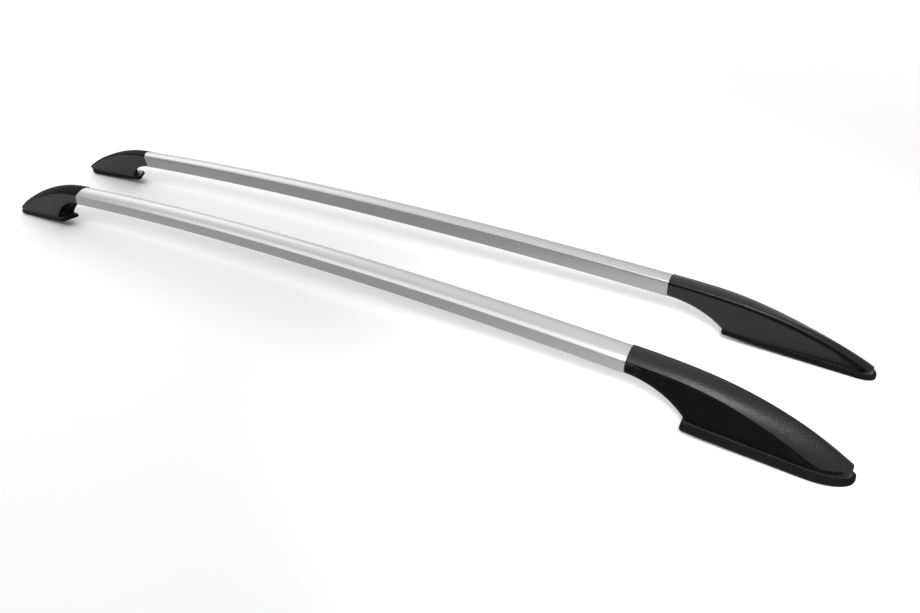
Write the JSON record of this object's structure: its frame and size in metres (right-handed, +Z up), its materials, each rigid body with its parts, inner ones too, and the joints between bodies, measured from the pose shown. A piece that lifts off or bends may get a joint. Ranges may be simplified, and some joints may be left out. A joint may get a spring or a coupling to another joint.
{
  "type": "roof side rail pair",
  "caption": "Left and right roof side rails of a car: arched hollow aluminium bars on moulded black feet, with rubber base gaskets, cast inner brackets and threaded bushes for roof bolts.",
  "frame": {"origin": "middle of the pair's bounding box, on the level surface that the rails stand on", "axes": "+X forward along the rails, towards the long front feet; +Y to the left; +Z up"},
  "size_m": [1.7798, 0.2494, 0.1214],
  "materials": {
    "bar_aluminium": "satin anodised, fine lines along the bar",
    "cover_plastic": "fine grained black moulding",
    "gasket_rubber": "matt black",
    "pad_rubber": "matt black foam",
    "bracket_casting": "casting with a black coat",
    "fastener_steel": "zinc plated"
  },
  "bodies": {
    "root": {"left_bar": "bar_aluminium", "left_front_bar_screws": "fastener_steel", "left_front_bracket": "bracket_casting", "left_front_bushes": "fastener_steel", "left_front_cover": "cover_plastic", "left_front_cover_screws": "fastener_steel", "left_front_gasket": "gasket_rubber", "left_front_pad": "pad_rubber", "left_rear_bar_screws": "fastener_steel", "left_rear_bracket": "bracket_casting", "left_rear_bushes": "fastener_steel", "left_rear_cover": "cover_plastic", "left_rear_cover_screws": "fastener_steel", "left_rear_gasket": "gasket_rubber", "left_rear_pad": "pad_rubber", "right_bar": "bar_aluminium", "right_front_bar_screws": "fastener_steel", "right_front_bracket": "bracket_casting", "right_front_bushes": "fastener_steel", "right_front_cover": "cover_plastic", "right_front_cover_screws": "fastener_steel", "right_front_gasket": "gasket_rubber", "right_front_pad": "pad_rubber", "right_rear_bar_screws": "fastener_steel", "right_rear_bracket": "bracket_casting", "right_rear_bushes": "fastener_steel", "right_rear_cover": "cover_plastic", "right_rear_cover_screws": "fastener_steel", "right_rear_gasket": "gasket_rubber", "right_rear_pad": "pad_rubber"}
  },
  "joints": []
}
